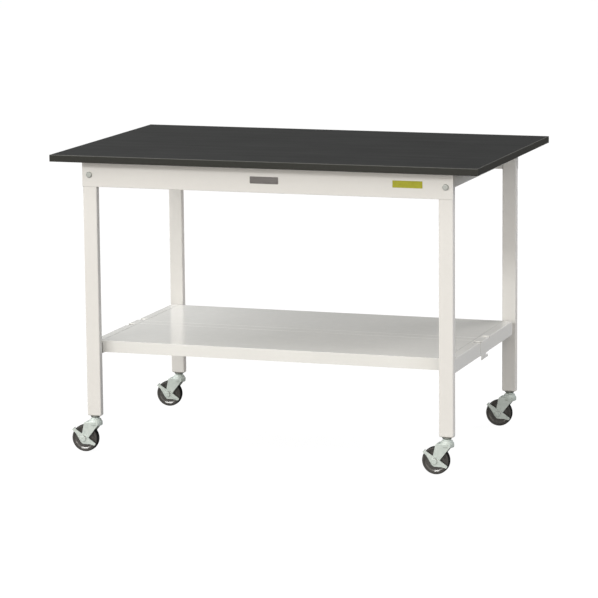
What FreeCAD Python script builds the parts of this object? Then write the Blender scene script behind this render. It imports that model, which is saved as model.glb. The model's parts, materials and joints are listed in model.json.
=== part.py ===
import FreeCAD, Part
import Sketcher
import math
import os

# A mobile work table: laminated worktop on a white tube frame, a low folded
# shelf, and four swivel casters with brake pedals.
# Millimetres. +X along the length, +Y to the rear, +Z up, floor at z = 0.

V = FreeCAD.Vector
doc = FreeCAD.newDocument("mobile_table")
sheet = doc.addObject("Spreadsheet::Sheet", "dims")


# ---------------------------------------------------------------- dimensions
class Dim:
    """A number together with the spreadsheet expression that drives it."""

    def __init__(self, v, e):
        self.v = float(v)
        self.e = e

    def _bin(self, other, sign, swap=False):
        o = q(other)
        a, b = (o, self) if swap else (self, o)
        value = {"+": lambda: a.v + b.v, "-": lambda: a.v - b.v,
                 "*": lambda: a.v * b.v, "/": lambda: a.v / b.v}[sign]()
        return Dim(value, "(%s %s %s)" % (a.e, sign, b.e))

    def __add__(self, o):
        return self._bin(o, "+")

    def __radd__(self, o):
        return self._bin(o, "+", True)

    def __sub__(self, o):
        return self._bin(o, "-")

    def __rsub__(self, o):
        return self._bin(o, "-", True)

    def __mul__(self, o):
        return self._bin(o, "*")

    def __rmul__(self, o):
        return self._bin(o, "*", True)

    def __truediv__(self, o):
        return self._bin(o, "/")

    def __neg__(self):
        return Dim(-self.v, "(0 - %s)" % self.e)


def q(x):
    return x if isinstance(x, Dim) else Dim(x, repr(float(x)))


row = [0]


def dim(alias, value, note):
    row[0] += 1
    n = row[0]
    sheet.set("A%d" % n, alias)
    sheet.set("B%d" % n, str(value))
    sheet.setAlias("B%d" % n, alias)
    sheet.set("C%d" % n, note)
    return Dim(value, "dims." + alias)


top_w = dim("top_width", 1200, "worktop, along X")
top_d = dim("top_depth", 750, "worktop, along Y")
top_z = dim("top_height", 826, "floor to worktop surface")
lam_t = dim("laminate_thick", 1, "surface and backing laminate")
core_t = dim("core_thick", 17, "board core")
band_t = dim("band_thick", 2, "edge banding")
band_r = dim("band_round", 1.8, "rounding of the banding's outer edges")

leg_w = dim("leg_wide", 40, "leg tube, along X")
leg_d = dim("leg_deep", 20, "leg tube, along Y")
leg_x = dim("leg_centre_x", 502, "leg centre from the middle, X")
leg_y = dim("leg_centre_y", 322, "leg centre from the middle, Y")
wall = dim("tube_wall", 1.6, "tube wall")
cap_t = dim("cap_thick", 4, "leg end cap")
cap_z = dim("cap_bottom", 102, "underside of the leg end caps")
ins_h = dim("insert_high", 30, "threaded insert")

tube_h = dim("side_tube_high", 40, "tube under the worktop end")
apr_h = dim("apron_high", 70, "apron face")
apr_t = dim("apron_thick", 1.6, "apron sheet")
apr_top = dim("apron_top_fold", 26, "apron upper fold, inward")
apr_low = dim("apron_low_fold", 20, "apron lower fold, inward")
apr_lip = dim("apron_lip", 10, "apron lip, upward")
bolt_z = dim("bolt_height", 769.5, "apron bolts above the floor")
bolt_r = dim("bolt_radius", 4, "apron bolt shank")
head_r = dim("bolt_head_radius", 8.4, "apron bolt head")

shelf_z = dim("shelf_height", 307.5, "shelf surface above the floor")
shelf_t = dim("shelf_thick", 1.2, "shelf sheet")
shelf_x = dim("shelf_side_x", 515.5, "shelf side flange, outer face")
fold_r = dim("shelf_fold_round", 3, "outside of the side folds")
slot_x0 = dim("recess_x", 495, "recesses beside the plank, inner edge from the middle")
recess = dim("recess_deep", 3.3, "recesses beside the plank")
lip_h = dim("plank_lip_high", 2.6, "turned-down lips of the plank's end tabs")
crease_x = dim("crease_x", 489.5, "pressed lines at the shelf ends, from the middle")
crease_w = dim("crease_wide", 2, "pressed lines")
crease_d = dim("crease_deep", 0.6, "pressed lines")
tray_y0 = dim("tray_inner_y", 22, "inner edge of the trays from the middle")
tray_y1 = dim("tray_outer_y", 298, "outer face of the trays from the middle")
front_h = dim("tray_front_high", 32, "front flange of the trays")
side_z = dim("side_flange_z", 269, "lower edge of the side flanges")
inner_h = dim("tray_inner_high", 20, "inner flange of the trays")
relief_y = dim("recess_y", 59, "recesses beside the plank end, from the middle")
ear_x = dim("flange_ear_x", 512.4, "ends of the front flange")

rail_x = dim("rail_outer_x", 507, "shelf rail, outer face")
rail_w = dim("rail_wide", 17, "shelf rail, along X")
rail_h = dim("rail_high", 29, "shelf rail")
rail_z = dim("rail_bottom", 270, "underside of the shelf rails")

plank_y = dim("plank_half", 21.2, "plank half width")
tab_y = dim("plank_tab_half", 31, "plank end tab, half width")
plate_y = dim("plank_plate_half", 42, "plank end plate, half width")
hook_y = dim("hook_half", 33, "hook, half width")
hook_in = dim("hook_mouth", 13, "inner end of the hook's mouth, from the middle")
hook_z = dim("hook_bottom", 256, "underside of the hook")

wheel_r = dim("wheel_radius", 37.5, "caster wheel")
trail = dim("caster_trail", 30, "stem axis to axle")
tyre_hw = dim("tyre_half_wide", 11, "tyre half width")
rim_r = dim("rim_radius", 29.5, "wheel disc")
axle_r = dim("axle_radius", 4, "caster axle")
pin_r = dim("kingpin_radius", 5, "kingpin of the swivel")
run_c = dim("running_clearance", 0.05, "radial clearance of running fits")
fork_in = dim("fork_inside_half", 15, "fork, inside half width")
fork_t = dim("fork_thick", 2.3, "fork sheet")
ped_in = dim("pedal_inside", 17.8, "brake pedal arm, inner face from the middle")
ped_t = dim("pedal_thick", 2, "brake pedal sheet")
cam_x = dim("cam_offset_x", 1.71, "pedal pivot forward of the axle")
cam_z = dim("cam_offset_z", 1.96, "pedal pivot above the axle")
cam_r = dim("cam_radius", 7.2, "eccentric bush")
tread_r = dim("pedal_tread_radius", 38.75, "underside of the pedal tread from the axle")
tread_in = dim("pedal_tread_inner", 7, "inner end of the pedal tread from the middle")

doc.recompute()

top_t = core_t + 2 * lam_t
under = top_z - top_t
leg_z = cap_z + cap_t
face_y = leg_y + leg_d / 2
ped_out = ped_in + ped_t
subparts = []


# ------------------------------------------------------------------- helpers
def bind(obj, prop, value):
    obj.setExpression(prop, q(value).e)


def place(obj, x=0, y=0, z=0, rot=None):
    p = FreeCAD.Placement(V(q(x).v, q(y).v, q(z).v), rot or FreeCAD.Rotation())
    obj.Placement = p
    for axis, value in (("x", x), ("y", y), ("z", z)):
        if isinstance(value, Dim):
            bind(obj, "Placement.Base." + axis, value)


def keep(obj, label):
    obj.Label = label
    subparts.append(obj)
    return obj


def box(name, lx, ly, lz, x, y, z):
    """A box from its size and its lowest corner."""
    b = doc.addObject("Part::Box", name)
    for prop, value in (("Length", lx), ("Width", ly), ("Height", lz)):
        setattr(b, prop, q(value).v)
        bind(b, prop, value)
    place(b, x, y, z)
    return b


UP = FreeCAD.Rotation()
ALONG_Y = FreeCAD.Rotation(V(1, 0, 0), -90)
ALONG_MY = FreeCAD.Rotation(V(1, 0, 0), 90)
ALONG_X = FreeCAD.Rotation(V(0, 1, 0), 90)
ALONG_MX = FreeCAD.Rotation(V(0, 1, 0), -90)


def rod(name, r, length, x, y, z, rot=UP):
    c = doc.addObject("Part::Cylinder", name)
    c.Radius, c.Height = q(r).v, q(length).v
    bind(c, "Radius", r)
    bind(c, "Height", length)
    place(c, x, y, z, rot)
    return c


def cone(name, r1, r2, height, x, y, z, rot=UP):
    c = doc.addObject("Part::Cone", name)
    c.Radius1, c.Radius2, c.Height = q(r1).v, q(r2).v, q(height).v
    bind(c, "Radius1", r1)
    bind(c, "Radius2", r2)
    bind(c, "Height", height)
    place(c, x, y, z, rot)
    return c


def cut(name, base, tools):
    if len(tools) == 1:
        tool = tools[0]
    else:
        tool = doc.addObject("Part::MultiFuse", name + "_tools")
        tool.Shapes = tools
    c = doc.addObject("Part::Cut", name)
    c.Base, c.Tool = base, tool
    return c


def fuse(name, shapes):
    f = doc.addObject("Part::MultiFuse", name)
    f.Shapes = shapes
    f.Refine = True
    return f


def group(name, shapes):
    g = doc.addObject("Part::Compound", name)
    g.Links = shapes
    return g


def rounded(name, base, picks):
    """Rounds the edges that each (test, radius) pair picks by their middle."""
    doc.recompute()
    edges = []
    for i, e in enumerate(base.Shape.Edges, 1):
        d = e.valueAt(e.LastParameter) - e.valueAt(e.FirstParameter)
        m = e.valueAt((e.FirstParameter + e.LastParameter) / 2)
        for test, r in picks:
            if test(m, d):
                edges.append((i, q(r).v, q(r).v))
                break
    f = doc.addObject("Part::Fillet", name)
    f.Base = base
    f.Edges = edges
    return f


def upright(m, d):
    return abs(d.z) > 0.9 * d.Length


def lying_y(m, d):
    return abs(d.y) > 0.9 * d.Length


def tube_z(name, w, d, height, x, y, z, r=3.0):
    """Upright rectangular tube with rounded corners, centred on x, y."""
    outer = rounded(name + "_outer", box(name + "_o", w, d, height, x - w / 2, y - d / 2, z), [(upright, r)])
    inner = rounded(name + "_inner", box(name + "_i", w - 2 * wall, d - 2 * wall, height + 2, x - w / 2 + wall, y - d / 2 + wall, z - 1), [(upright, r - wall.v)])
    return outer, inner


def tube_y(name, w, height, length, x, z, r=2.5):
    """Rectangular tube along Y, centred on y = 0, from its lowest x and z."""
    outer = rounded(name + "_outer", box(name + "_o", w, length, height, x, -length / 2, z), [(lying_y, r)])
    inner = rounded(name + "_inner", box(name + "_i", w - 2 * wall, length + 2, height - 2 * wall, x + wall, -length / 2 - 1, z + wall), [(lying_y, r - wall.v)])
    return outer, inner


def new_body(label):
    return keep(doc.addObject("PartDesign::Body", label), label)


def plane(body, role):
    return [f for f in body.Origin.OriginFeatures if f.Role == role][0]


def sketch(body, role, name, loops, offset=0):
    """A sketch on one of the body's own planes. Each loop is a list of points
    whose two coordinates are bound to the sheet, or a ("circle", x, y, r)."""
    sk = body.newObject("Sketcher::SketchObject", name)
    sk.AttachmentSupport = [(plane(body, role), "")]
    sk.MapMode = "FlatFace"
    sk.AttachmentOffset = FreeCAD.Placement(V(0, 0, q(offset).v), FreeCAD.Rotation())
    if isinstance(offset, Dim):
        bind(sk, "AttachmentOffset.Base.z", offset)
    todo = []

    def fix(geo, pos, x, y):
        for kind, value, axis in (("DistanceX", q(x), -2), ("DistanceY", q(y), -1)):
            if abs(value.v) < 1e-9:
                sk.addConstraint(Sketcher.Constraint("PointOnObject", geo, pos, axis))
            else:
                i = sk.addConstraint(Sketcher.Constraint(kind, -1, 1, geo, pos, value.v))
                todo.append((i, value.e))

    for loop in loops:
        if loop[0] == "circle":
            _, x, y, r = loop
            g = sk.addGeometry(Part.Circle(V(q(x).v, q(y).v, 0), V(0, 0, 1), q(r).v), False)
            fix(g, 3, x, y)
            i = sk.addConstraint(Sketcher.Constraint("Radius", g, q(r).v))
            todo.append((i, q(r).e))
            continue
        pts = [(q(a), q(b)) for a, b in loop]
        n = len(pts)
        ids = []
        for k in range(n):
            a, b = pts[k], pts[(k + 1) % n]
            ids.append(sk.addGeometry(Part.LineSegment(V(a[0].v, a[1].v, 0), V(b[0].v, b[1].v, 0)), False))
        for k in range(n):
            sk.addConstraint(Sketcher.Constraint("Coincident", ids[k], 2, ids[(k + 1) % n], 1))
        for k in range(n):
            fix(ids[k], 1, pts[k][0], pts[k][1])
    for i, e in todo:
        sk.setExpression("Constraints[%d]" % i, e)
    return sk


def rect(x0, y0, x1, y1):
    return [(x0, y0), (x1, y0), (x1, y1), (x0, y1)]


def pad(body, sk, length, both=False, back=False):
    p = body.newObject("PartDesign::Pad", sk.Name + "_pad")
    p.Profile = sk
    p.Length = q(length).v
    bind(p, "Length", length)
    if both:
        p.SideType = "Symmetric"
    p.Reversed = back
    doc.recompute()
    return p


def pocket(body, sk, length, both=False, back=False):
    before = body.Shape.Volume
    p = body.newObject("PartDesign::Pocket", sk.Name + "_pocket")
    p.Profile = sk
    p.Length = q(length).v
    bind(p, "Length", length)
    if both:
        p.SideType = "Symmetric"
    p.Reversed = back
    doc.recompute()
    if not body.Shape.Volume < before - 0.01:
        raise RuntimeError("pocket took nothing away: " + sk.Name)
    return p


def turn(body, sk, axis, groove=False):
    before = body.Shape.Volume if groove else 0
    f = body.newObject("PartDesign::Groove" if groove else "PartDesign::Revolution", sk.Name + "_turn")
    f.Profile = sk
    f.ReferenceAxis = (sk, [axis])
    f.Angle = 360
    doc.recompute()
    if groove and not body.Shape.Volume < before - 0.01:
        raise RuntimeError("groove took nothing away: " + sk.Name)
    return f


def soften(body, picks, r):
    """Rounds edges of the body's present shape, picked by their middle."""
    tip = body.Tip
    names = []
    for i, e in enumerate(tip.Shape.Edges, 1):
        d = e.valueAt(e.LastParameter) - e.valueAt(e.FirstParameter)
        m = e.valueAt((e.FirstParameter + e.LastParameter) / 2)
        if any(t(m, d) for t in picks):
            names.append("Edge%d" % i)
    f = body.newObject("PartDesign::Fillet", body.Name + "_soft%d" % len(body.Group))
    f.Base = (tip, names)
    f.Radius = q(r).v
    bind(f, "Radius", r)
    doc.recompute()
    return f


# ------------------------------------------------------------------- worktop
core_w = top_w - 2 * band_t
core_d = top_d - 2 * band_t
screw_x = dim("screw_pitch_x", 400, "worktop screws, spacing along X")
screw_y = dim("screw_y", 317, "worktop screws from the middle, Y")
screw_r = dim("screw_radius", 2.2, "worktop screw shank")
screw_n = 6
screw_at = [(i * screw_x, s * screw_y) for i in (-1, 0, 1) for s in (-1, 1)]


def pilots(name, r, z, length):
    return [rod("%s_%d" % (name, i), r, length, x, y, z) for i, (x, y) in enumerate(screw_at)]


core = box("core_blank", core_w, core_d, core_t, -core_w / 2, -core_d / 2, under + lam_t)
keep(cut("worktop_core", core, pilots("core_pilot", screw_r + run_c, under, 14)), "worktop_core")
keep(box("worktop_surface", core_w, core_d, lam_t, -core_w / 2, -core_d / 2, top_z - lam_t), "worktop_surface")
back = box("backing_blank", core_w, core_d, lam_t, -core_w / 2, -core_d / 2, under)
keep(cut("worktop_backing", back, pilots("backing_pilot", screw_r + run_c, under - 1, 3)), "worktop_backing")

half_w, half_d = top_w / 2, top_d / 2
for name, lx, ly, x, y in (
        ("edge_band_front", top_w, band_t, -half_w, -half_d),
        ("edge_band_rear", top_w, band_t, -half_w, half_d - band_t),
        ("edge_band_left", band_t, core_d, -half_w, -half_d + band_t),
        ("edge_band_right", band_t, core_d, half_w - band_t, -half_d + band_t)):
    blank = box(name + "_blank", lx, ly, top_t, x, y, under)
    if "front" in name:
        outer = lambda m, d: abs(m.y + half_d.v) < 1e-6 and not upright(m, d)
    elif "rear" in name:
        outer = lambda m, d: abs(m.y - half_d.v) < 1e-6 and not upright(m, d)
    elif "left" in name:
        outer = lambda m, d: abs(m.x + half_w.v) < 1e-6 and not upright(m, d)
    else:
        outer = lambda m, d: abs(m.x - half_w.v) < 1e-6 and not upright(m, d)
    keep(rounded(name, blank, [(outer, band_r)]), name)

screws = []
for i, (x, y) in enumerate(screw_at):
    screws.append(fuse("worktop_screw_%d" % i, [
        rod("screw_shank_%d" % i, screw_r, 14, x, y, under - apr_t),
        rod("screw_head_%d" % i, 4.5, 2.6, x, y, under - apr_t - 2.6)]))
keep(group("worktop_screws", screws), "worktop_screws")

# --------------------------------------------------------------------- frame
corners = (("front_left", "fl", -1, -1), ("front_right", "fr", 1, -1),
           ("rear_left", "rl", -1, 1), ("rear_right", "rr", 1, 1))
bolts, nuts, caps, inserts, stems = [], [], [], [], []
stem_r = dim("stem_radius", 6, "caster stem")
for place_name, short, sx, sy in corners:
    x, y = sx * leg_x, sy * leg_y
    outer, inner = tube_z("leg_" + place_name, leg_w, leg_d, under - leg_z, x, y, leg_z)
    out_dir, in_dir = (ALONG_MY, ALONG_Y) if sy < 0 else (ALONG_Y, ALONG_MY)
    hole = rod("leg_hole_" + short, bolt_r + run_c, leg_d / 2, x, sy * (face_y + 1), bolt_z, in_dir)
    keep(cut("leg_" + place_name, outer, [inner, hole]), "leg_" + place_name)

    # domed bolt from outside, nut on the inside of the leg's outer wall
    shank = rod("bolt_shank_" + short, bolt_r, 14, x, sy * (face_y + apr_t), bolt_z, in_dir)
    head = rod("bolt_head_" + short, head_r, 4.4, x, sy * (face_y + apr_t), bolt_z, out_dir)
    dome = rounded("bolt_dome_" + short, head, [(lambda m, d: abs(abs(m.y) - (face_y + apr_t).v - 4.4) < 1e-6, 3.2)])
    bolts.append(fuse("apron_bolt_" + short, [shank, dome]))
    nut = rod("nut_blank_" + short, 6.2, 9, x, sy * (face_y - wall), bolt_z, in_dir)
    bore = rod("nut_bore_" + short, bolt_r + run_c, 12, x, sy * (face_y - wall + 1), bolt_z, in_dir)
    nuts.append(cut("apron_nut_" + short, nut, [bore]))

    cap = box("cap_blank_" + short, leg_w, leg_d, cap_t, x - leg_w / 2, y - leg_d / 2, cap_z)
    cap = rounded("cap_round_" + short, cap, [(upright, 4.5), (lambda m, d: abs(m.z - cap_z.v) < 1e-6, 3.2)])
    caps.append(cut("leg_cap_" + short, cap, [rod("cap_bore_" + short, stem_r + run_c, cap_t + 2, x, y, cap_z - 1)]))
    gap = 0.2
    block = box("insert_blank_" + short, leg_w - 2 * wall - 2 * gap, leg_d - 2 * wall - 2 * gap, ins_h,
                x - leg_w / 2 + wall + gap, y - leg_d / 2 + wall + gap, leg_z)
    block = rounded("insert_round_" + short, block, [(upright, 1.4)])
    inserts.append(cut("stem_insert_" + short, block, [rod("insert_bore_" + short, stem_r + run_c, ins_h + 2, x, y, leg_z - 1)]))

    # stem with its collar, kingpin and kingpin head
    stems.append(fuse("caster_stem_" + short, [
        rod("stem_thread_" + short, stem_r, 34, x, y, cap_z),
        rod("stem_flange_" + short, 13.5, 2.2, x, y, cap_z - 2.2),
        cone("stem_collar_" + short, 11, 13.2, 2.9, x, y, cap_z - 5.1),
        rod("kingpin_" + short, pin_r, 26.5, x, y, cap_z - 30.5),
        rod("kingpin_head_" + short, 8, 3, x, y, cap_z - 30.8)]))

keep(group("apron_bolts", bolts), "apron_bolts")
keep(group("apron_nuts", nuts), "apron_nuts")
keep(group("leg_end_caps", caps), "leg_end_caps")
keep(group("stem_inserts", inserts), "stem_inserts")
keep(group("caster_stems", stems), "caster_stems")

tube_l = 2 * (leg_y - leg_d / 2)
for name, x in (("top_side_tube_left", -leg_x - leg_w / 2), ("top_side_tube_right", leg_x)):
    outer, inner = tube_y(name, leg_w / 2, tube_h, tube_l, x, under - tube_h)
    keep(cut(name, outer, [inner]), name)
for name, x in (("shelf_side_rail_left", -rail_x), ("shelf_side_rail_right", rail_x - rail_w)):
    outer, inner = tube_y(name, rail_w, rail_h, tube_l, x, rail_z)
    inward = 1 if "left" in name else -1
    holes = [rod("%s_hole_%d" % (name, s), 2 + run_c, 4, inward * (-(rail_x - rail_w) - 3), s * 160, rail_z + 17, ALONG_X if inward > 0 else ALONG_MX) for s in (-1, 1)]
    keep(cut(name, outer, [inner] + holes), name)

# aprons: face over the legs, folds only between them
apr_x = leg_x + leg_w / 2
fold_x = leg_x - leg_w / 2 - 0.5
for name, s in (("apron_front", -1), ("apron_rear", 1)):
    def slab(part, lx, ly, lz, y, z):
        y0 = y if s > 0 else -(y + ly)
        return box("%s_%s" % (name, part), lx, ly, lz, -lx / 2, y0, z)
    body = fuse(name + "_fold", [
        slab("face", 2 * apr_x, apr_t, apr_h, face_y, under - apr_h),
        slab("top", 2 * fold_x, apr_top, apr_t, face_y - apr_top, under - apr_t),
        slab("low", 2 * fold_x, apr_low, apr_t, face_y - apr_low, under - apr_h),
        slab("lip", 2 * fold_x, apr_t, apr_lip, face_y - apr_low, under - apr_h)])
    edge = lambda m, d: abs(abs(m.y) - (face_y + apr_t).v) < 1e-6 and abs(m.z - (under - apr_h).v) < 1e-6
    body = rounded(name + "_round", body, [(edge, 1.2)])
    holes = [rod("%s_bolt_hole_%d" % (name, i), bolt_r + run_c, 6, i * leg_x, s * (face_y - 1), bolt_z, ALONG_Y if s > 0 else ALONG_MY) for i in (-1, 1)]
    holes += [rod("%s_screw_hole_%d" % (name, i), screw_r + run_c, 6, i * screw_x, s * screw_y, under - 4) for i in (-1, 0, 1)]
    keep(cut(name, body, holes), name)

# plain plate and plain label on the front apron
plate_z = dim("plate_height", 771, "centre of the plate above the floor")
skin = face_y + apr_t
blank = rounded("plate_corners", box("plate_blank", 80, 0.8, 19, -40, -skin - 0.8, plate_z - 9.5), [(lying_y, 2.0)])
keep(rounded("blank_plate", blank, [(lambda m, d: abs(m.y + skin.v + 0.8) < 1e-6, 0.4)]), "blank_plate")
keep(rounded("blank_label", box("label_blank", 82, 0.3, 19, 357, -skin - 0.3, plate_z - 7), [(lying_y, 1.2)]), "blank_label")

# --------------------------------------------------------------------- shelf
def shelf_profile(outer_x, bottom):
    """Closed outline of the folded sheet, seen along Y."""
    o, low = outer_x - shelf_t, shelf_z - shelf_t
    return [(-outer_x, bottom), (-outer_x, shelf_z), (outer_x, shelf_z), (outer_x, bottom),
            (o, bottom), (o, low), (-o, low), (-o, bottom)]


def round_folds(body, outer_x):
    o = outer_x - shelf_t
    soften(body, [lambda m, d: lying_y(m, d) and abs(abs(m.x) - o.v) < 1e-6 and abs(m.z - (shelf_z - shelf_t).v) < 1e-6], fold_r - shelf_t)
    soften(body, [lambda m, d: lying_y(m, d) and abs(abs(m.x) - outer_x.v) < 1e-6 and abs(m.z - shelf_z.v) < 1e-6], fold_r)


over = shelf_z + 3
for name in ("shelf_tray_front", "shelf_tray_rear"):
    b = new_body(name)
    pad(b, sketch(b, "XZ_Plane", name + "_sheet", [shelf_profile(shelf_x, side_z)], tray_y0), tray_y1 - tray_y0)
    round_folds(b, shelf_x)
    out = shelf_x + 5
    sk = sketch(b, "XY_Plane", name + "_corners", [
        rect(ear_x, -tray_y1 - 5, out, -tray_y1 + 2), rect(-out, -tray_y1 - 5, -ear_x, -tray_y1 + 2)], over)
    pocket(b, sk, over - side_z + 5)
    # recess under each end tab of the plank, with a floor
    sk = sketch(b, "XY_Plane", name + "_recess", [
        rect(slot_x0, -relief_y, out, -tray_y0 + 5), rect(-out, -relief_y, -slot_x0, -tray_y0 + 5)], over)
    pocket(b, sk, over - shelf_z + recess)
    floor_z, floor_x = shelf_z - recess, shelf_x - shelf_t / 2
    low = floor_z - shelf_t
    pad(b, sketch(b, "XZ_Plane", name + "_floor", [
        rect(slot_x0 - shelf_t, low, floor_x, floor_z), rect(-floor_x, low, -slot_x0 + shelf_t, floor_z)], tray_y0), relief_y - tray_y0 + shelf_t)
    pad(b, sketch(b, "XZ_Plane", name + "_step_end", [
        rect(slot_x0 - shelf_t, low, ear_x - 0.4, shelf_z), rect(-ear_x + 0.4, low, -slot_x0 + shelf_t, shelf_z)], relief_y), shelf_t)
    pad(b, sketch(b, "XZ_Plane", name + "_step_side", [
        rect(slot_x0 - shelf_t, low, slot_x0, shelf_z), rect(-slot_x0, low, -slot_x0 + shelf_t, shelf_z)], tray_y0), relief_y - tray_y0)
    # shallow pressed line along each end
    inner, outer = crease_x - crease_w / 2, crease_x + crease_w / 2
    sk = sketch(b, "XY_Plane", name + "_crease", [
        rect(inner, -tray_y1 + 6, outer, -relief_y - 6), rect(-outer, -tray_y1 + 6, -inner, -relief_y - 6)], over)
    pocket(b, sk, over - shelf_z + crease_d)
    x0, x1, z0, z1 = rail_x - rail_w - 3.5, rail_x + 0.5, shelf_z - front_h, rail_z + rail_h + 2
    pad(b, sketch(b, "XZ_Plane", name + "_flange", [[
        (-ear_x, shelf_z), (ear_x, shelf_z), (ear_x, side_z), (x1, side_z), (x1, z1), (x0, z1), (x0, z0),
        (-x0, z0), (-x0, z1), (-x1, z1), (-x1, side_z), (-ear_x, side_z)]], tray_y1 - shelf_t), shelf_t)
    pad(b, sketch(b, "XZ_Plane", name + "_inner", [rect(-x0 + 2, shelf_z - inner_h, x0 - 2, shelf_z)], tray_y0), shelf_t)
    soften(b, [lambda m, d: abs(m.y + tray_y1.v) < 1e-6 and abs(m.z - shelf_z.v) < 1e-6,
               lambda m, d: abs(m.y + tray_y0.v) < 1e-6 and abs(m.z - shelf_z.v) < 1e-6], 1.0)
    if name.endswith("rear"):
        b.Placement = FreeCAD.Placement(V(0, 0, 0), FreeCAD.Rotation(V(0, 0, 1), 180))

b = new_body("shelf_center_plank")
plank_x = shelf_x + 0.2 + shelf_t
pad(b, sketch(b, "XZ_Plane", "plank_sheet", [shelf_profile(plank_x, side_z)]), 2 * tab_y, both=True)
round_folds(b, plank_x)
neck_x = slot_x0 + 1
sk = sketch(b, "XY_Plane", "plank_sides", [rect(-neck_x, plank_y, neck_x, tab_y + 5), rect(-neck_x, -tab_y - 5, neck_x, -plank_y)], over)
pocket(b, sk, over - shelf_z + shelf_t + 0.8)
plate_top = shelf_z - 4
wing_top = shelf_z - 5.5
hook = [(-plate_y, wing_top), (-tab_y, wing_top), (-tab_y, plate_top), (tab_y, plate_top), (tab_y, wing_top), (plate_y, wing_top), (plate_y, side_z),
        (hook_in, side_z), (hook_in, hook_z + 7), (hook_y, hook_z + 7), (hook_y, hook_z), (-hook_y, hook_z), (-hook_y, side_z), (-plate_y, side_z)]
pad(b, sketch(b, "YZ_Plane", "plank_plate_right", [hook], shelf_x + 0.2), shelf_t)
pad(b, sketch(b, "YZ_Plane", "plank_plate_left", [hook], -plank_x), shelf_t)
lip_x = plank_x - 5
for part, at in (("front", tab_y - shelf_t), ("rear", -tab_y)):
    pad(b, sketch(b, "XZ_Plane", "plank_lips_" + part, [
        rect(neck_x, shelf_z - lip_h, lip_x, shelf_z), rect(-lip_x, shelf_z - lip_h, -neck_x, shelf_z)], at), shelf_t)
x0 = rail_x - rail_w - 2.5
pad(b, sketch(b, "XZ_Plane", "plank_rib_front", [rect(-x0, shelf_z - inner_h, x0, shelf_z)], plank_y - shelf_t), shelf_t)
pad(b, sketch(b, "XZ_Plane", "plank_rib_rear", [rect(-x0, shelf_z - inner_h, x0, shelf_z)], -plank_y), shelf_t)
soften(b, [lambda m, d: abs(abs(m.y) - plank_y.v) < 1e-6 and abs(m.z - shelf_z.v) < 1e-6], 1.0)

# angle cleats under the trays, screwed to the rails' inner walls
cleats, cleat_screws = [], []
cleat_x = rail_x - rail_w
for i, (sx, sy) in enumerate(((-1, -1), (1, -1), (-1, 1), (1, 1))):
    def arm(part, lx, lz, z):
        x = cleat_x - lx
        return box("cleat_%s_%d" % (part, i), lx, 30, lz, x if sx > 0 else -cleat_x, sy * 160 - 15, z)
    angle = fuse("cleat_fold_%d" % i, [arm("wall", q(2), q(24), shelf_z - shelf_t - 24), arm("top", q(20), q(2), shelf_z - shelf_t - 2)])
    hole = rod("cleat_hole_%d" % i, 2 + run_c, 6, sx * (cleat_x + 1), sy * 160, rail_z + 17, ALONG_MX if sx > 0 else ALONG_X)
    cleats.append(cut("shelf_cleat_%d" % i, angle, [hole]))
    cleat_screws.append(fuse("cleat_screw_%d" % i, [
        rod("cleat_shank_%d" % i, 2, 9, sx * (cleat_x - 2), sy * 160, rail_z + 17, ALONG_X if sx > 0 else ALONG_MX),
        rod("cleat_head_%d" % i, 4, 2.6, sx * (cleat_x - 2), sy * 160, rail_z + 17, ALONG_MX if sx > 0 else ALONG_X)]))
keep(group("shelf_cleats", cleats), "shelf_cleats")
keep(group("shelf_cleat_screws", cleat_screws), "shelf_cleat_screws")

# ------------------------------------------------------------------- casters
# Each piece is drawn with the stem axis, or for the wheel and pedal the axle,
# at its own origin, and then placed at its leg.
axle_z = wheel_r
fork_out = fork_in + fork_t


def from_axle(points, dx, dz):
    return [(dx + px, dz + pz) for px, pz in points]


fork_outline = [(-9, 2), (-5, 10), (-4, 16), (0, 35), (1.6, 44), (3.2, 46.4), (6, 47.5), (40, 47.5), (43, 45.5), (43.5, 41),
                (40.6, 38), (13.6, 3), (10, -4), (5, -8.5), (-2, -9), (-7, -6)]
pedal_outline = [(-32.7, 24.6), (-28.0, 29.8), (-5, 15.5), (8, 9), (14.5, 4), (35.5, -11), (34.6, -15.6), (31, -17), (20, -14), (8, -14.2), (-2, -13.4), (-8, -8), (-14, 2.5), (-22, 15)]

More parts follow.
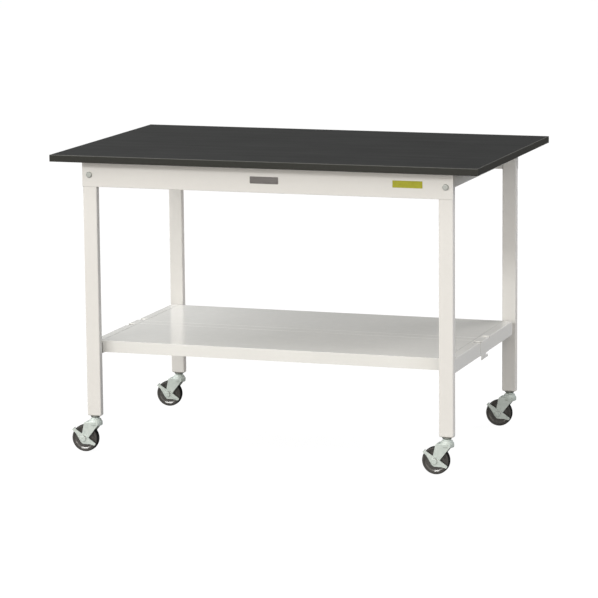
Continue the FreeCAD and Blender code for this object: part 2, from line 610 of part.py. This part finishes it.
for place_name, short, sx, sy in corners:
    x, y = sx * leg_x, sy * leg_y

    # fork: two cheeks, a crown above the wheel and a domed head on the kingpin
    n = short + "_fork"
    b = new_body(n)
    pad(b, sketch(b, "XZ_Plane", n + "_cheeks", [from_axle(fork_outline, -trail, axle_z)]), 2 * fork_out, both=True)
    crown = axle_z + 47.5 - fork_t
    pocket(b, sketch(b, "XZ_Plane", n + "_gap", [rect(-trail - 40, axle_z - 30, trail, crown)]), 2 * fork_in, both=True)
    soften(b, [lambda m, d: abs(abs(m.y) - fork_out.v) < 1e-6 and abs(m.z - (axle_z + 47.5).v) < 1e-6], 1.6)
    head = [(0, 74.5), (16, 74.5), (18.2, 75.6), (19, 77.4), (19, 84), (18.6, 86), (17.4, 87.2), (16.3, 88), (16, 90), (15.2, 92),
            (13.4, 93.4), (11.2, 94), (10.6, 94.8), (10.4, 96), (9.6, 96.6), (0, 96.6)]
    turn(b, sketch(b, "XZ_Plane", n + "_head", [head]), "V_Axis")
    race = [(0, 70), (pin_r + run_c, 70), (pin_r + run_c, 79.4), (11.1, 79.4), (11.1, 84.6), (pin_r + run_c, 84.6), (pin_r + run_c, 99), (0, 99)]
    turn(b, sketch(b, "XZ_Plane", n + "_race", [race]), "V_Axis", groove=True)
    pocket(b, sketch(b, "XZ_Plane", n + "_axle", [("circle", -trail, axle_z, axle_r + run_c)]), 2 * fork_out + 4, both=True)
    place(b, x, y, 0)

    balls = []
    for i in range(12):
        a = 2 * math.pi * i / 12
        ball = doc.addObject("Part::Sphere", "%s_ball_%d" % (short, i))
        ball.Radius = 2.6
        place(ball, x + 8.2 * math.cos(a), y + 8.2 * math.sin(a), 82)
        balls.append(ball)
    keep(group(short + "_swivel_balls", balls), short + "_swivel_balls")

    # axle with a round head each end: outside the pedal arm and outside the far cheek
    ax = x - trail
    near, far = ped_out + 0.4, fork_out
    pin = rod(short + "_axle_pin", axle_r, near + far, ax, y - near, axle_z, ALONG_Y)
    heads = []
    for s, end in ((-1, near), (1, far)):
        h = rod("%s_axle_head_%s" % (short, "near" if s < 0 else "far"), 7.7, 2.2, ax, y + s * end, axle_z, ALONG_Y if s > 0 else ALONG_MY)
        tip = (y + s * (end + 2.2)).v
        heads.append(rounded("%s_axle_round_%s" % (short, "near" if s < 0 else "far"), h, [(lambda m, d: abs(m.y - tip) < 1e-6, 1.2)]))
    keep(fuse(short + "_axle", [pin] + heads), short + "_axle")

    # eccentric bush on the axle, between the cheek and the axle head
    ring = rod(short + "_bush_blank", cam_r, near - fork_out, ax + cam_x, y - fork_out, axle_z + cam_z, ALONG_MY)
    hole = rod(short + "_bush_bore", axle_r + run_c, 8, ax, y - fork_out + 2, axle_z, ALONG_MY)
    keep(cut(short + "_cam_bush", ring, [hole]), short + "_cam_bush")

    # wheel disc and tyre, turned about the axle
    n = short + "_wheel_hub"
    b = new_body(n)
    bore = axle_r + run_c
    hub = [(-14.5, bore), (14.5, bore), (14.5, 9), (9.2, 10.5), (8.9, 25.4), (10.2, 28.9), (10.2, rim_r), (-10.2, rim_r), (-10.2, 28.9), (-8.9, 25.4), (-9.2, 10.5), (-14.5, 9)]
    turn(b, sketch(b, "YZ_Plane", n + "_half", [hub]), "H_Axis")
    place(b, ax, y, axle_z)
    n = short + "_tyre"
    b = new_body(n)
    half = [(-9.8, rim_r), (9.8, rim_r), (10.7, 30.6), (tyre_hw, 33), (10.6, 35), (9.2, 36.5), (6.5, 37.3), (3, wheel_r),
            (-3, wheel_r), (-6.5, 37.3), (-9.2, 36.5), (-10.6, 35), (-tyre_hw, 33), (-10.7, 30.6)]
    turn(b, sketch(b, "YZ_Plane", n + "_half", [half]), "H_Axis")
    place(b, ax, y, axle_z)

    # brake pedal: one arm outside the near cheek, with a tread turned in over the tyre
    n = short + "_brake_pedal"
    b = new_body(n)
    pad(b, sketch(b, "XZ_Plane", n + "_arm", [pedal_outline], ped_in), ped_t)
    ux, uz = -0.7451, 0.6670
    tx, tz = 0.6670, 0.7451
    tread = [(-32.7, 24.6), (-28.0, 29.8), (tread_r * ux + 3.9 * tx, tread_r * uz + 3.9 * tz), (tread_r * ux - 3.5 * tx, tread_r * uz - 3.5 * tz)]
    pad(b, sketch(b, "XZ_Plane", n + "_tread", [tread], tread_in), ped_in - tread_in + 0.5)
    pocket(b, sketch(b, "XZ_Plane", n + "_pivot", [("circle", cam_x, cam_z, cam_r + run_c)]), 2 * ped_out + 4, both=True)
    place(b, ax, y, axle_z)

# ------------------------------------------------------------- check and save
doc.recompute()
bad = [o.Name for o in doc.Objects if "Invalid" in o.State or "Error" in o.State]
if bad:
    raise RuntimeError("failed objects: " + ", ".join(bad))
labels = [o.Label for o in subparts]
if len(set(labels)) != len(labels) or len(labels) > 60:
    raise RuntimeError("labels: %d" % len(labels))
for o in subparts:
    if o.Shape.isNull() or not o.Shape.isValid() or not o.Shape.Solids:
        raise RuntimeError("bad shape: " + o.Label)
os.makedirs("parts", exist_ok=True)
for o in subparts:
    o.Shape.exportStep("parts/%s.step" % o.Label)
print("%d sub-parts written" % len(subparts))
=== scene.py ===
import json
from math import sin, cos, radians

import bpy
from mathutils import Matrix, Vector


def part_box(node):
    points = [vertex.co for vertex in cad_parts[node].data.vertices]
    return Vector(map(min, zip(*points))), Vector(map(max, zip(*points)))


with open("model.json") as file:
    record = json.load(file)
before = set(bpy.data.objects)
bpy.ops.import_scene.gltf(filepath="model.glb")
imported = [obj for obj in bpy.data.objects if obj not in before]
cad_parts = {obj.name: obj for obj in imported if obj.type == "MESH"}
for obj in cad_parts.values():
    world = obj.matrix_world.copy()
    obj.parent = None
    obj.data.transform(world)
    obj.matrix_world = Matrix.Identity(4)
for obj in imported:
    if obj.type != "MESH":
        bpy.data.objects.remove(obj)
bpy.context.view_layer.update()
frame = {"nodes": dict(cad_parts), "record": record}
nodes = frame["nodes"]
scene = bpy.context.scene


# ---------------------------------------------------------------- node helpers

class Tree:
    """A material's node tree, with short calls for the nodes used here."""

    def __init__(self, name):
        self.mat = bpy.data.materials.new(name)
        self.mat.use_nodes = True
        self.t = self.mat.node_tree
        self.t.nodes.clear()
        self.out = self.t.nodes.new("ShaderNodeOutputMaterial")
        self.b = self.t.nodes.new("ShaderNodeBsdfPrincipled")
        self.link(self.b.outputs["BSDF"], self.out.inputs["Surface"])
        self.place = self.t.nodes.new("ShaderNodeTexCoord").outputs["Object"]

    def link(self, a, b):
        self.t.links.new(a, b)

    def put(self, socket, value):
        if hasattr(value, "is_linked"):
            self.link(value, socket)
        else:
            socket.default_value = value

    def stretched(self, scale):
        """Object coordinates stretched per axis, for grain and brushing."""
        n = self.t.nodes.new("ShaderNodeMapping")
        n.inputs["Scale"].default_value = scale
        self.link(self.place, n.inputs["Vector"])
        return n.outputs["Vector"]

    def noise(self, scale, detail=3.0, rough=0.5, place=None, lacunarity=2.0):
        n = self.t.nodes.new("ShaderNodeTexNoise")
        n.inputs["Scale"].default_value = scale
        n.inputs["Detail"].default_value = detail
        n.inputs["Roughness"].default_value = rough
        n.inputs["Lacunarity"].default_value = lacunarity
        self.link(place or self.place, n.inputs["Vector"])
        return n.outputs["Fac"]

    def cells(self, scale, place=None, out="Distance", feature="F1"):
        n = self.t.nodes.new("ShaderNodeTexVoronoi")
        n.feature = feature
        n.inputs["Scale"].default_value = scale
        self.link(place or self.place, n.inputs["Vector"])
        return n.outputs[out]

    def ramp(self, fac, *stops):
        n = self.t.nodes.new("ShaderNodeValToRGB")
        e = n.color_ramp.elements
        while len(e) < len(stops):
            e.new(0.5)
        for el, (pos, col) in zip(e, stops):
            el.position = pos
            el.color = (*col, 1.0) if len(col) == 3 else col
        self.link(fac, n.inputs["Fac"])
        return n.outputs["Color"]

    def span(self, fac, lo, hi, a=0.3, b=0.7):
        n = self.t.nodes.new("ShaderNodeMapRange")
        n.inputs["From Min"].default_value = a
        n.inputs["From Max"].default_value = b
        n.inputs["To Min"].default_value = lo
        n.inputs["To Max"].default_value = hi
        self.link(fac, n.inputs["Value"])
        return n.outputs["Result"]

    def math(self, op, a, b=0.0):
        n = self.t.nodes.new("ShaderNodeMath")
        n.operation = op
        self.put(n.inputs[0], a)
        self.put(n.inputs[1], b)
        return n.outputs[0]

    def mix(self, fac, a, b, mode="MIX"):
        n = self.t.nodes.new("ShaderNodeMix")
        n.data_type = "RGBA"
        n.blend_type = mode
        self.put(n.inputs[0], fac)
        self.put(n.inputs[6], a)
        self.put(n.inputs[7], b)
        return n.outputs[2]

    def bump(self, height, strength, distance, base=None):
        n = self.t.nodes.new("ShaderNodeBump")
        n.inputs["Strength"].default_value = strength
        n.inputs["Distance"].default_value = distance
        self.link(height, n.inputs["Height"])
        if base is not None:
            self.link(base, n.inputs["Normal"])
        return n.outputs["Normal"]

    def set(self, **values):
        for key, value in values.items():
            self.put(self.b.inputs[key.replace("_", " ")], value)
        return self


def shade(col, k):
    return tuple(min(1.0, c * k) for c in col)


# ------------------------------------------------------------------- materials

def laminate(name, col, rough):
    """Decor paper under a fine-textured melamine skin: dull, very slightly mottled, with a tight pebble and faint wipe marks."""
    t = Tree(name)
    mottle = t.noise(9.0, 4.0, 0.55)
    flecks = t.noise(900.0, 2.0, 0.6)
    tone = t.ramp(mottle, (0.30, shade(col, 0.93)), (0.70, shade(col, 1.07)))
    speck = t.ramp(flecks, (0.35, (0.90, 0.90, 0.90)), (0.65, (1.10, 1.10, 1.10)))
    wipes = t.noise(14.0, 3.0, 0.6, t.stretched((0.25, 2.4, 1.0)))
    t.set(Base_Color=t.mix(1.0, tone, speck, "MULTIPLY"))
    t.set(Roughness=t.math("ADD", t.span(wipes, rough - 0.035, rough + 0.035), t.span(flecks, -0.03, 0.03)))
    pebble = t.cells(1100.0, out="Distance")
    fine = t.noise(2600.0, 2.0, 0.5)
    t.set(Normal=t.bump(fine, 0.10, 0.00006, t.bump(pebble, 0.22, 0.00010)))
    return t


def powder(name, col, low, high, peel=0.25, line=None):
    """Baked powder coat: orange-peel waves a couple of millimetres long over a fine grain, with a slight drift in tone
    and gloss.
    With line, the pressed line at that distance from the middle of the table gets painted shade, a dark grey broken up
    by the cloud noise."""
    t = Tree(name)
    drift = t.noise(5.0, 3.0, 0.5)
    cloud = t.noise(60.0, 3.0, 0.55)
    tone = t.ramp(drift, (0.30, shade(col, 0.978)), (0.70, shade(col, 1.015)))
    fine = t.ramp(cloud, (0.30, (0.985, 0.985, 0.985)), (0.70, (1.0, 1.0, 1.0)))
    base = t.mix(1.0, tone, fine, "MULTIPLY")
    if line is not None:
        parts = t.t.nodes.new("ShaderNodeSeparateXYZ")
        t.link(t.place, parts.inputs[0])
        off = t.math("ABSOLUTE", t.math("SUBTRACT", t.math("ABSOLUTE", parts.outputs["X"]), line))
        # painted shade: the pressed line is darkened towards a dark grey, patchy with the cloud noise
        crease_shade = t.math("MULTIPLY", t.span(off, 1.0, 0.0, 0.0008, 0.0013), t.span(cloud, 0.34, 0.48))
        base = t.mix(crease_shade, base, (0.24, 0.235, 0.225, 1.0))
    t.set(Base_Color=base)
    t.set(Roughness=t.span(cloud, low, high))
    waves = t.noise(420.0, 2.0, 0.45)
    grain = t.noise(2200.0, 2.0, 0.5)
    t.set(Normal=t.bump(grain, 0.05, 0.00003, t.bump(waves, peel, 0.00006)))
    return t


def plated(name, bright, dull, low, high, metal=1.0, pitch=260.0):
    """Zinc-plated or plain steel: soft crystal patches, rolling marks and a slightly uneven lustre."""
    t = Tree(name)
    patch = t.cells(pitch, out="Color")
    cloud = t.noise(90.0, 3.0, 0.6)
    base = t.ramp(cloud, (0.28, dull), (0.72, bright))
    bw = t.t.nodes.new("ShaderNodeRGBToBW")
    t.link(patch, bw.inputs["Color"])
    tint = t.ramp(bw.outputs["Val"], (0.1, (0.95, 0.96, 0.955)), (0.9, (1.0, 1.0, 1.0)))
    t.set(Base_Color=t.mix(1.0, base, tint, "MULTIPLY"), Metallic=metal)
    rub = t.noise(700.0, 3.0, 0.6, t.stretched((1.0, 1.0, 0.12)))
    t.set(Roughness=t.math("ADD", t.span(cloud, low, high), t.span(rub, -0.04, 0.04)))
    t.set(Normal=t.bump(rub, 0.12, 0.00003, t.bump(cloud, 0.10, 0.00008)))
    return t


def polymer(name, col, low, high, grain=1500.0, depth=0.00004):
    """Moulded plastic with a fine spark texture and uneven sheen."""
    t = Tree(name)
    cloud = t.noise(120.0, 4.0, 0.6)
    tone = t.ramp(cloud, (0.28, shade(col, 0.90)), (0.72, shade(col, 1.10)))
    spark = t.noise(grain, 3.0, 0.6)
    t.set(Base_Color=tone)
    t.set(Roughness=t.math("ADD", t.span(cloud, low, high), t.span(spark, -0.03, 0.03)))
    t.set(Normal=t.bump(spark, 0.30, depth))
    return t


def tyre(name, side, tread):
    """Rubber tyre: grey, slightly dusty flanks, and a blacker tread, picked by which way the surface faces."""
    t = Tree(name)
    cloud = t.noise(120.0, 4.0, 0.6)
    spark = t.noise(900.0, 3.0, 0.6)
    parts = t.t.nodes.new("ShaderNodeSeparateXYZ")
    t.link(t.t.nodes.new("ShaderNodeTexCoord").outputs["Normal"], parts.inputs[0])
    flank = t.span(t.math("ABSOLUTE", parts.outputs["Y"]), 0.0, 1.0, 0.45, 0.80)
    film = t.span(t.noise(45.0, 4.0, 0.65), 0.0, 0.14, 0.45, 0.75)
    grey = t.ramp(cloud, (0.28, shade(side, 0.90)), (0.72, shade(side, 1.10)))
    grey = t.mix(film, grey, (0.16, 0.15, 0.14, 1.0))
    black = t.ramp(cloud, (0.28, shade(tread, 0.80)), (0.72, shade(tread, 1.20)))
    t.set(Base_Color=t.mix(flank, black, grey))
    t.set(Roughness=t.math("ADD", t.span(cloud, 0.58, 0.72), t.span(spark, -0.03, 0.03)))
    t.set(Specular_IOR_Level=0.28)
    t.set(Normal=t.bump(spark, 0.30, 0.00006))
    return t


def banding(name, col, crest_highlight_col, top):
    """Plastic edge strip: satin faces, and a painted highlight along the rounded upper edge, a paler colour streaked by
    noise.
    """
    t = Tree(name)
    cloud = t.noise(120.0, 4.0, 0.6)
    spark = t.noise(1800.0, 3.0, 0.6)
    streak = t.noise(500.0, 3.0, 0.6, t.stretched((0.08, 0.08, 1.0)))
    tone = t.ramp(cloud, (0.28, shade(col, 0.90)), (0.72, shade(col, 1.10)))
    parts = t.t.nodes.new("ShaderNodeSeparateXYZ")
    t.link(t.place, parts.inputs[0])
    # painted highlight: the rounded upper edge is made paler, streaked by the noise
    crest = t.span(parts.outputs["Z"], 0.0, 1.0, top - 0.0018, top - 0.0004)
    painted_crest_highlight = t.math("MULTIPLY", crest, t.span(streak, 0.55, 1.0))
    t.set(Base_Color=t.mix(painted_crest_highlight, tone, (*crest_highlight_col, 1.0)))
    t.set(Roughness=t.math("ADD", t.span(cloud, 0.38, 0.48), t.span(spark, -0.03, 0.03)))
    t.set(Normal=t.bump(spark, 0.30, 0.00003))
    return t


def chipboard(name):
    """Pressed wood particles, seen only where the board is open underneath."""
    t = Tree(name)
    chips = t.cells(260.0, t.stretched((1.0, 1.0, 3.0)), out="Color")
    bw = t.t.nodes.new("ShaderNodeRGBToBW")
    t.link(chips, bw.inputs["Color"])
    t.set(Base_Color=t.ramp(bw.outputs["Val"], (0.1, (0.30, 0.19, 0.10)), (0.5, (0.46, 0.31, 0.18)), (0.9, (0.60, 0.45, 0.28))))
    rough = t.noise(500.0, 4.0, 0.6)
    t.set(Roughness=t.span(rough, 0.75, 0.92), Normal=t.bump(bw.outputs["Val"], 0.4, 0.0002))
    return t


def brushed(name, col, low, high):
    """Thin metal plate with long horizontal brushing."""
    t = Tree(name)
    lines = t.noise(1400.0, 4.0, 0.65, t.stretched((0.02, 1.0, 1.0)))
    cloud = t.noise(70.0, 2.0, 0.5)
    tone = t.ramp(lines, (0.25, shade(col, 0.86)), (0.75, shade(col, 1.12)))
    t.set(Base_Color=tone, Metallic=1.0)
    t.set(Roughness=t.math("ADD", t.span(lines, low, high), t.span(cloud, -0.03, 0.03)))
    t.set(Normal=t.bump(lines, 0.18, 0.00004))
    return t


PAINT = (0.722, 0.712, 0.686)
SHELF = (0.764, 0.764, 0.740)

mats = {}
m = laminate("laminate_dark", (0.0267, 0.0277, 0.0279), 0.66).set(Specular_IOR_Level=0.10)
mats["laminate_dark"] = m.mat
m = laminate("laminate_back", (0.075, 0.068, 0.058), 0.66).set(Specular_IOR_Level=0.3)
mats["laminate_back"] = m.mat
# the third colour is the painted highlight along the rounded top edge of the banding
mats["edge_dark"] = banding("edge_dark", (0.031, 0.0314, 0.0275), (0.13, 0.131, 0.124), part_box("edge_band_front")[1][2]).set(Specular_IOR_Level=0.15).mat
mats["board_core"] = chipboard("board_core").mat
m = powder("frame_white", PAINT, 0.36, 0.46)
mats["frame_white"] = m.mat
m = powder("shelf_white", SHELF, 0.10, 0.16, 0.05, 0.4895)
mats["shelf_white"] = m.mat
m = polymer("cap_white", (0.72, 0.71, 0.68), 0.40, 0.52, 1300.0, 0.00003)
mats["cap_white"] = m.mat
mats["plate_silver"] = brushed("plate_silver", (0.175, 0.168, 0.162), 0.26, 0.42).mat
m = polymer("label_yellow", (0.378, 0.372, 0.026), 0.40, 0.50, 2400.0, 0.00001).set(Specular_IOR_Level=0.25)
mats["label_yellow"] = m.mat
mats["zinc"] = plated("zinc", (0.62, 0.675, 0.645), (0.535, 0.597, 0.568), 0.44, 0.58, 0.25).mat
mats["bolt_zinc"] = plated("bolt_zinc", (0.50, 0.52, 0.49), (0.42, 0.44, 0.42), 0.34, 0.46, 0.3).mat
mats["stem_steel"] = plated("stem_steel", (0.36, 0.37, 0.35), (0.26, 0.27, 0.26), 0.36, 0.48).mat
mats["plain_steel"] = plated("plain_steel", (0.58, 0.57, 0.55), (0.46, 0.45, 0.44), 0.26, 0.38).mat
mats["ball_steel"] = plated("ball_steel", (0.66, 0.66, 0.66), (0.58, 0.58, 0.58), 0.10, 0.18).mat
mats["tyre_rubber"] = tyre("tyre_rubber", (0.062, 0.060, 0.057), (0.008, 0.008, 0.008)).mat
m = polymer("wheel_grey", (0.078, 0.075, 0.071), 0.24, 0.34, 1200.0, 0.00001).set(Coat_Weight=1.0, Coat_Roughness=0.08)
mats["wheel_grey"] = m.mat

slot_of = {entry["node"]: entry["material_slot"] for entry in frame["record"]["subparts"]}
for name, obj in nodes.items():
    chosen = mats[slot_of[name]]
    if obj.data.materials:
        for i in range(len(obj.data.materials)):
            obj.data.materials[i] = chosen
    else:
        obj.data.materials.append(chosen)


# ------------------------------------------------------------------------ stage

def floor_plane(name, z, tone, glow):
    """Endless pale paper, lit a little from within so that it stays even."""
    mesh = bpy.data.meshes.new(name)
    mesh.from_pydata([(-60, -60, z), (60, -60, z), (60, 60, z), (-60, 60, z)], [], [(0, 1, 2, 3)])
    obj = bpy.data.objects.new(name, mesh)
    scene.collection.objects.link(obj)
    t = Tree(name + "_paper")
    grain = t.noise(30.0, 3.0, 0.5)
    t.set(Base_Color=t.ramp(grain, (0.3, (tone, tone, tone)), (0.7, (tone + 0.01, tone + 0.01, tone + 0.01))))
    t.set(Roughness=0.95, Specular_IOR_Level=0.0, Emission_Color=(1.0, 1.0, 1.0, 1.0), Emission_Strength=glow)
    t.mat.cycles.emission_sampling = "NONE"
    mesh.materials.append(t.mat)
    return obj


# the upper sheet is what the camera sees, the lower one is what lights the table from below
floor = floor_plane("floor", 0.0, 0.07, 0.96)
floor.visible_diffuse = False
floor.visible_glossy = False
floor.visible_shadow = False
bounce = floor_plane("floor_bounce", -0.002, 0.10, 0.08)
bounce.visible_camera = False

# a soft white room, brighter towards the front and the left
world = bpy.data.worlds.new("studio")
scene.world = world
world.use_nodes = True
room = world.node_tree
glow = room.nodes["Background"]
glow.inputs["Color"].default_value = (1.0, 1.0, 1.0, 1.0)
glow.inputs["Strength"].default_value = 0.04
compass = room.nodes.new("ShaderNodeSeparateXYZ")
room.links.new(room.nodes.new("ShaderNodeTexCoord").outputs["Generated"], compass.inputs[0])
total = glow.outputs["Background"]
for axis, low, high, power, tint in (("Y", 0.25, -0.25, 0.81, (0.995, 0.925, 0.85, 1.0)), ("X", -0.05, -0.55, 0.62, (0.965, 0.97, 0.93, 1.0))):
    wall = room.nodes.new("ShaderNodeMapRange")
    wall.inputs["From Min"].default_value = low
    wall.inputs["From Max"].default_value = high
    wall.inputs["To Min"].default_value = 0.0
    wall.inputs["To Max"].default_value = power
    room.links.new(compass.outputs[axis], wall.inputs["Value"])
    side = room.nodes.new("ShaderNodeBackground")
    side.inputs["Color"].default_value = tint
    room.links.new(wall.outputs["Result"], side.inputs["Strength"])
    both = room.nodes.new("ShaderNodeAddShader")
    room.links.new(total, both.inputs[0])
    room.links.new(side.outputs["Background"], both.inputs[1])
    total = both.outputs["Shader"]
room.links.new(total, room.nodes["World Output"].inputs["Surface"])


def soft_light(name, at, aim, size, power, col):
    lamp = bpy.data.lights.new(name, "AREA")
    lamp.shape = "RECTANGLE"
    lamp.size, lamp.size_y = size
    lamp.energy = power
    lamp.color = col
    obj = bpy.data.objects.new(name, lamp)
    at, aim = Vector(at), Vector(aim)
    obj.matrix_world = Matrix.Translation(at) @ (aim - at).to_track_quat("-Z", "Y").to_matrix().to_4x4()
    obj.visible_camera = False
    scene.collection.objects.link(obj)
    return obj


middle = (0.0, 0.0, 0.45)
key = soft_light("key", (-3.3, -6.0, 3.2), middle, (4.7, 0.9), 175.0, (1.0, 1.0, 0.98))
key.matrix_world = key.matrix_world @ Matrix.Rotation(radians(12.0), 4, "Z")
soft_light("left_high", (-5.0, -0.5, 5.5), middle, (4.0, 4.0), 228.0, (0.91, 0.93, 0.98))
soft_light("front", (-0.5, -8.0, 0.6), middle, (3.6, 1.0), 66.0, (1.0, 0.945, 0.93))
soft_light("front_right", (5.4, -6.0, 1.4), middle, (3.4, 2.0), 88.0, (1.0, 0.95, 0.82))
right_light = soft_light("right", (6.0, -2.0, 3.0), middle, (4.0, 3.0), 85.0, (0.66, 0.80, 1.0))
back_light = soft_light("back_right", (4.5, 4.5, 4.5), middle, (4.0, 3.0), 280.0, (1.0, 0.96, 0.95))
# these two give no glare in the shelf when it is seen from the left
right_light.visible_glossy = False
back_light.visible_glossy = False

scene.view_settings.view_transform = "Standard"
scene.view_settings.look = "None"
scene.view_settings.exposure = 0.0
scene.view_settings.gamma = 1.0


# ----------------------------------------------------------------------- camera

az, el, roll = 0.3275431857, 0.1690693177, 0.0091376912
dist, px, py, focal = 8.623085934, 0.016930209, 0.000066118, 3103.142657
fwd = Vector((-sin(az) * cos(el), cos(az) * cos(el), -sin(el)))
right = fwd.cross(Vector((0, 0, 1))).normalized()
down = fwd.cross(right)
r2 = cos(roll) * right + sin(roll) * down
d2 = -sin(roll) * right + cos(roll) * down
eye = Vector((0.0, 0.0, 0.39603)) - dist * fwd - px * r2 - py * d2
cam = bpy.data.cameras.new("camera")
cam.sensor_fit = "HORIZONTAL"
cam.sensor_width = 36.0
cam.lens = focal / 598.0 * 36.0
cam.clip_start, cam.clip_end = 0.05, 300.0
cam_obj = bpy.data.objects.new("camera", cam)
turn = Matrix((r2, -d2, -fwd)).transposed().to_4x4()
cam_obj.matrix_world = Matrix.Translation(eye) @ turn
scene.collection.objects.link(cam_obj)
scene.camera = cam_obj
